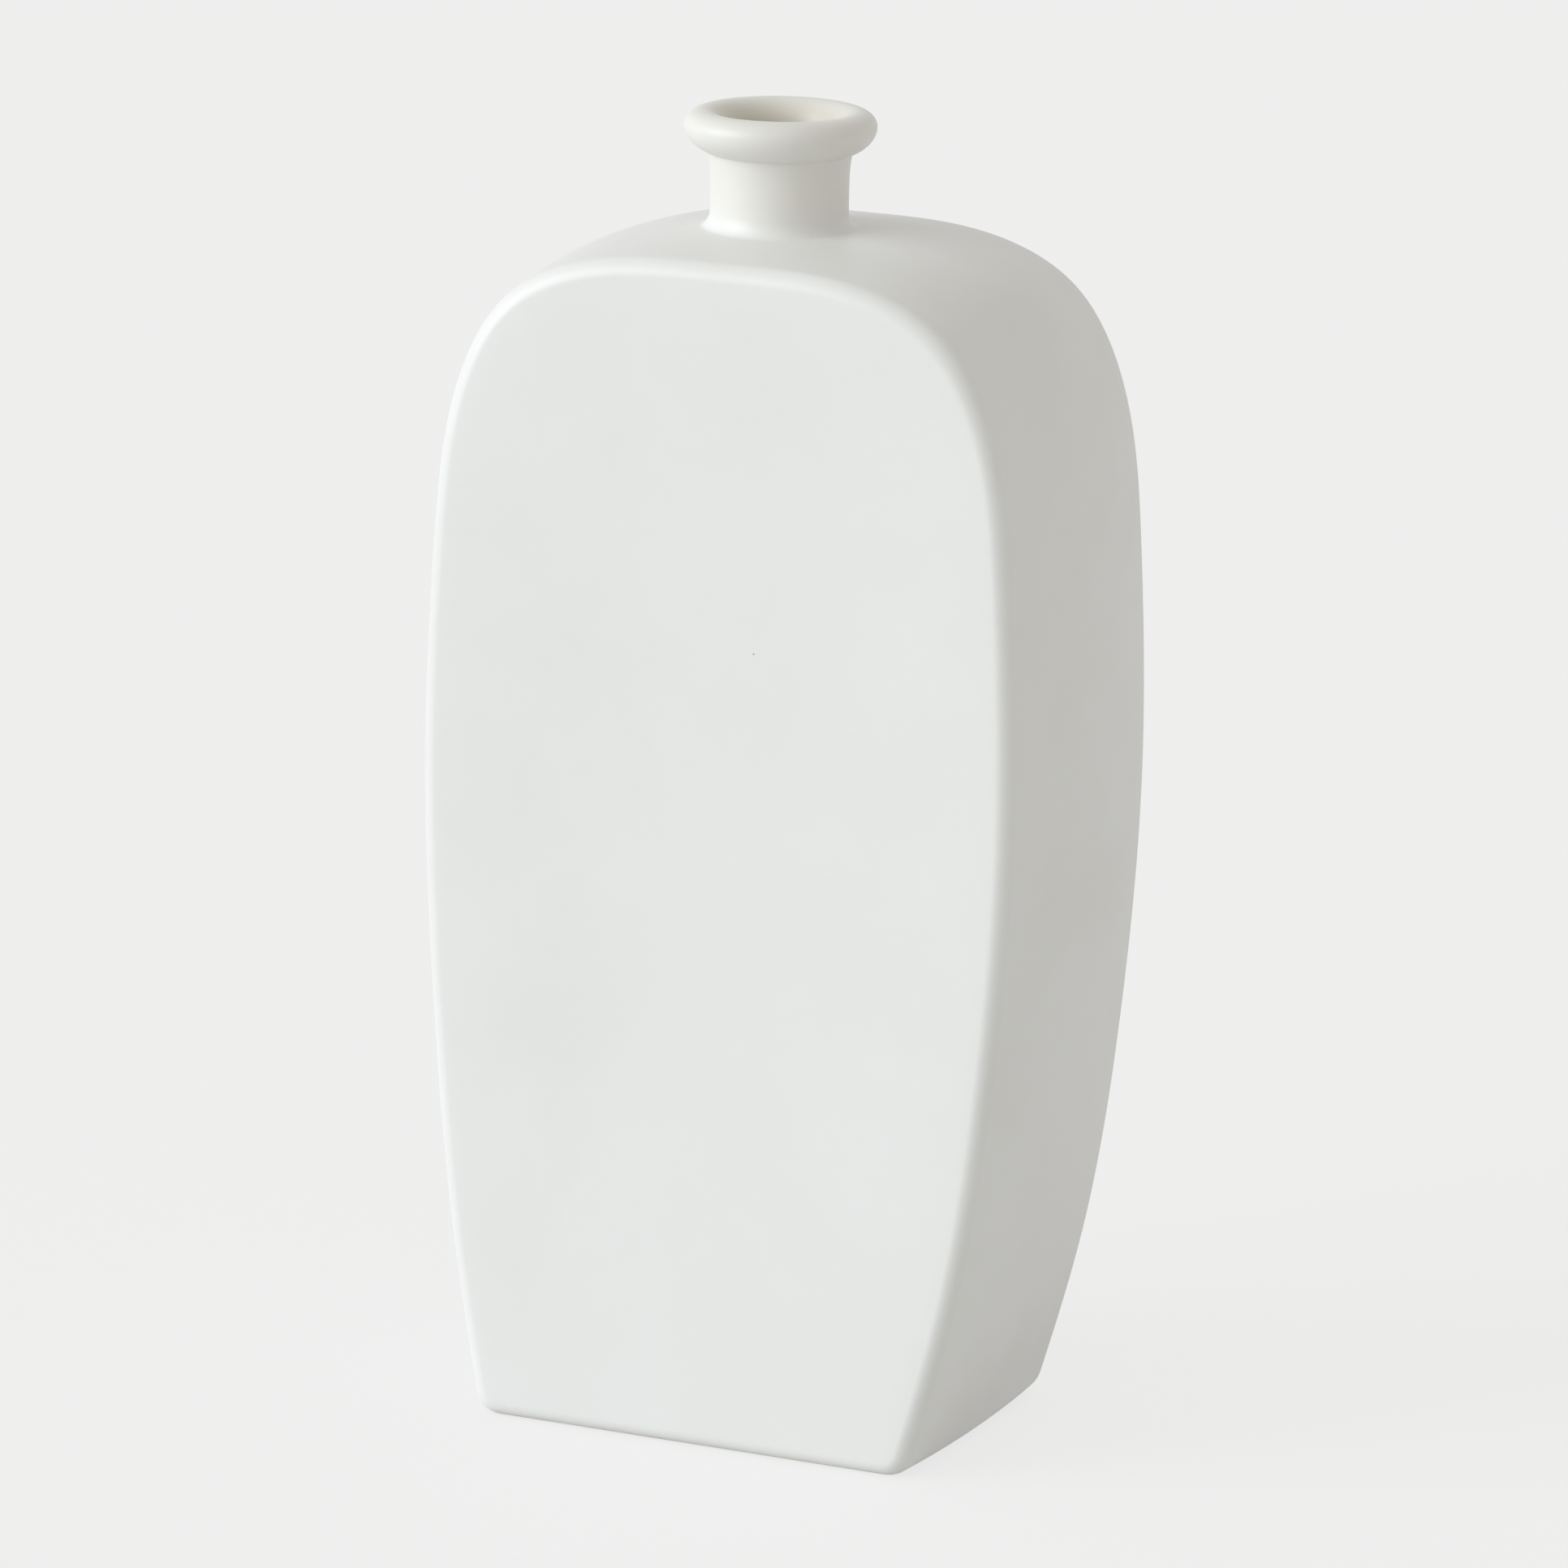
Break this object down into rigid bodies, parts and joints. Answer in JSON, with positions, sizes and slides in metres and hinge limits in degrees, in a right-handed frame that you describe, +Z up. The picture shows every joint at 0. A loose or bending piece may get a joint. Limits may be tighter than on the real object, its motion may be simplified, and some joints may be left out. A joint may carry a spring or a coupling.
{
  "type": "bud vase",
  "caption": "Flask-shaped ceramic bud vase with flat front and back, curved sides, a short neck and a rolled rim; holds a few stems and water.",
  "frame": {"origin": "on the table, at the middle of the foot's flat underside, with the neck's axis through it", "axes": "+Z up through the mouth, +X to the right across the broad front face, +Y from front to back"},
  "size_m": [0.114, 0.06, 0.2286],
  "materials": {
    "white_glaze": "satin",
    "bare_clay": "matte"
  },
  "bodies": {
    "root": {"front_panel": "white_glaze", "back_panel": "white_glaze", "left_side_strip": "white_glaze", "right_side_strip": "white_glaze", "base_slab": "bare_clay", "neck_collar": "white_glaze", "neck_coil": "white_glaze", "rolled_rim": "white_glaze"}
  },
  "joints": []
}
